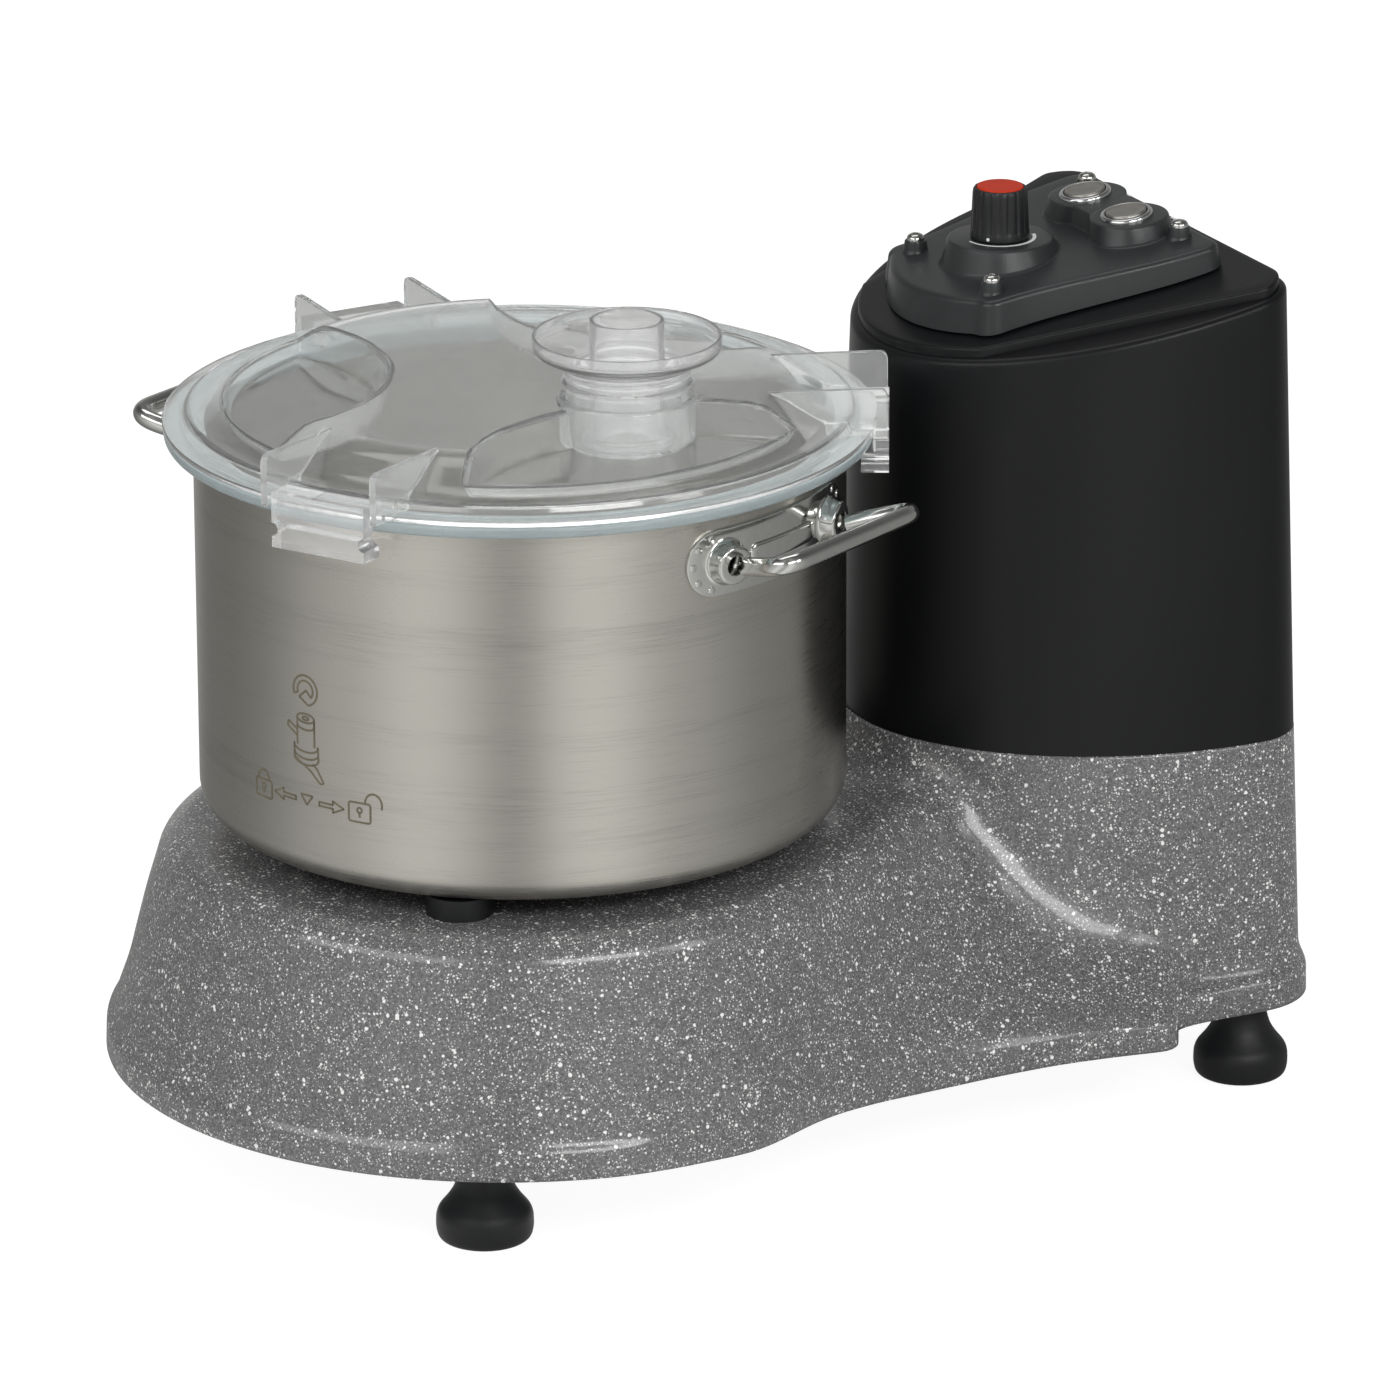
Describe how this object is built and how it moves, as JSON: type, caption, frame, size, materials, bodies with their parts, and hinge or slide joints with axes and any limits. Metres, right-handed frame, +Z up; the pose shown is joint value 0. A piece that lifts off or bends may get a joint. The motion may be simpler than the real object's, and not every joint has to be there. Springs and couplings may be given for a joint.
{
  "type": "bowl cutter",
  "caption": "Table-top vegetable cutter: steel bowl with a clear clip-on lid and feed funnel on an enamelled base, belt-driven blades, motor column with control panel.",
  "frame": {"origin": "middle of the footprint, on the table under the feet", "axes": "+X from the bowl to the motor column, +Z up; the front handle is on the -Y side"},
  "size_m": [0.5122, 0.3498, 0.3789],
  "materials": {
    "enamel": "glossy grey enamel with pale flecks",
    "plate_steel": "zinc-plated sheet",
    "screw_steel": "plain",
    "foot_rubber": "matt",
    "cover_black": "satin black",
    "panel_black": "fine satin",
    "knob_black": "satin",
    "cap_red": "gloss",
    "button_steel": "ground",
    "bezel_chrome": "polished",
    "spring_steel": "plain",
    "electric_plastic": "matt",
    "motor_paint": "satin",
    "cast_alloy": "as cast",
    "belt_rubber": "matt",
    "board_green": "matt",
    "shaft_steel": "ground",
    "hub_plastic": "food-safe plastic",
    "blade_steel": "ground",
    "bowl_steel": "brushed up and down",
    "handle_steel": "polished stainless",
    "lid_clear": "clear polycarbonate",
    "seal_clear": "milky silicone"
  },
  "bodies": {
    "base": {"base_body": "enamel", "base_plate": "plate_steel", "plate_screws": "screw_steel", "feet": "foot_rubber", "foot_bolts": "screw_steel", "bowl_pads": "foot_rubber", "motor_cover": "cover_black", "panel_gasket": "foot_rubber", "control_panel": "panel_black", "panel_screws": "screw_steel", "potentiometer": "electric_plastic", "start_bezel": "bezel_chrome", "stop_bezel": "bezel_chrome", "contact_blocks": "electric_plastic", "start_spring": "spring_steel", "stop_spring": "spring_steel", "motor_plate": "plate_steel", "plate_bolts": "screw_steel", "motor_housing": "motor_paint", "motor_lower_bell": "motor_paint", "motor_upper_bell": "motor_paint", "bearing_housing": "cast_alloy", "housing_screws": "screw_steel", "spindle_bearings": "spring_steel", "shaft_seal": "foot_rubber", "drive_belt": "belt_rubber", "inverter_board": "board_green", "board_standoffs": "screw_steel", "terminal_block": "electric_plastic", "reed_switch": "electric_plastic", "cable_gland": "panel_black", "gland_nut": "panel_black"},
    "spindle": {"spindle_shaft": "shaft_steel", "spindle_pulley": "cast_alloy", "blade_hub": "hub_plastic", "lower_blade": "blade_steel", "upper_blade": "blade_steel", "blade_spacer": "hub_plastic", "blade_nut": "hub_plastic"},
    "rotor": {"motor_shaft": "shaft_steel", "motor_rotor": "shaft_steel", "motor_pulley": "cast_alloy"},
    "bowl": {"bowl": "bowl_steel", "bowl_tube": "bowl_steel", "handle_plates": "handle_steel", "front_handle": "handle_steel", "rear_handle": "handle_steel", "bowl_magnet": "shaft_steel"},
    "lid": {"lid": "lid_clear", "lid_seal": "seal_clear", "lid_clips": "lid_clear", "feed_funnel": "lid_clear"},
    "feed_tube": {"feed_tube": "lid_clear"},
    "knob": {"knob_shaft": "shaft_steel", "speed_knob": "knob_black", "knob_cap": "cap_red"},
    "start": {"start_button": "button_steel"},
    "stop": {"stop_button": "button_steel"}
  },
  "joints": [
    {"name": "motor_spin", "type": "hinge", "parent": "base", "child": "rotor", "pos_m": [0.16094, 0, 0.1], "axis": [0, 0, 1], "continuous": true},
    {"name": "spindle_spin", "type": "hinge", "parent": "base", "child": "spindle", "pos_m": [-0.07906, 0, 0.1], "axis": [0, 0, 1], "continuous": true},
    {"name": "bowl_turn", "type": "hinge", "parent": "base", "child": "bowl", "pos_m": [-0.07906, 0, 0.143], "axis": [0, 0, 1], "range_deg": [0, 20]},
    {"name": "lid_lift", "type": "slide", "parent": "bowl", "child": "lid", "axis": [0, 0, 1], "range_m": [0, 0.06]},
    {"name": "feed_tube_lift", "type": "slide", "parent": "lid", "child": "feed_tube", "axis": [0, 0, 1], "range_m": [0, 0.05]},
    {"name": "knob_turn", "type": "hinge", "parent": "base", "child": "knob", "pos_m": [0.14594, 0, 0.35621], "axis": [0, 0, -1], "range_deg": [0, 270]},
    {"name": "start_press", "type": "slide", "parent": "base", "child": "start", "axis": [0.1562, 0, -0.9877], "range_m": [0, 0.0025], "stiffness_N_per_m": 800, "deforming": ["start_spring"]},
    {"name": "stop_press", "type": "slide", "parent": "base", "child": "stop", "axis": [0.1562, 0, -0.9877], "range_m": [0, 0.0025], "stiffness_N_per_m": 800, "deforming": ["stop_spring"]}
  ],
  "couplings": [
    {"joint": "spindle_spin", "follows": "motor_spin", "ratio": 0.75}
  ]
}
